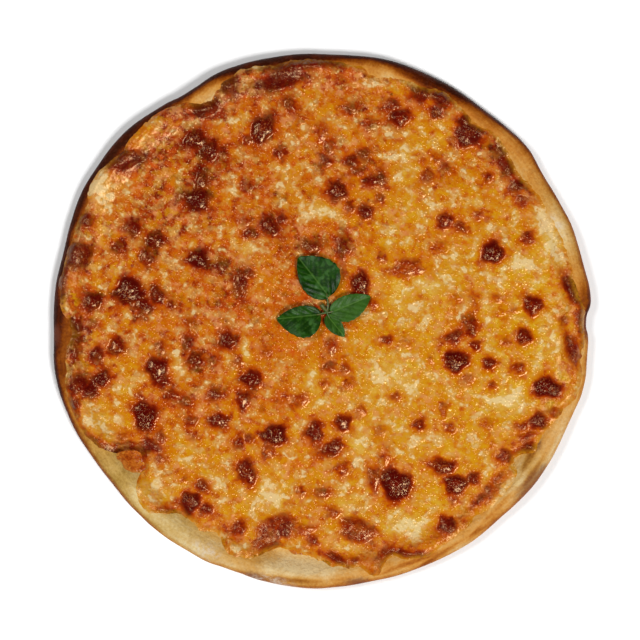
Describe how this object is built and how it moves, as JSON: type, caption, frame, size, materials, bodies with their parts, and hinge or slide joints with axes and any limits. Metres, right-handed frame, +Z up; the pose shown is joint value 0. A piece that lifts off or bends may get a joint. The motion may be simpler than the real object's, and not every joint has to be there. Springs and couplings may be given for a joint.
{
  "type": "margherita pizza",
  "caption": "Whole round thin-crust pizza with a low uneven rim, tomato sauce, melted toasted cheese and a basil sprig at the middle.",
  "frame": {"origin": "on the surface that the pizza rests on, under the middle of its flat underside", "axes": "+Z up through the toppings; +Y towards the side that the broadest basil leaf leans to; +X to the right of it, seen from above"},
  "size_m": [0.3062, 0.3047, 0.015],
  "materials": {
    "crust": "matte",
    "tomato_sauce": "satin",
    "mozzarella": "satin",
    "basil": "satin"
  },
  "bodies": {
    "root": {"crust": "crust", "tomato_sauce": "tomato_sauce", "mozzarella": "mozzarella", "basil_sprig": "basil"}
  },
  "joints": []
}
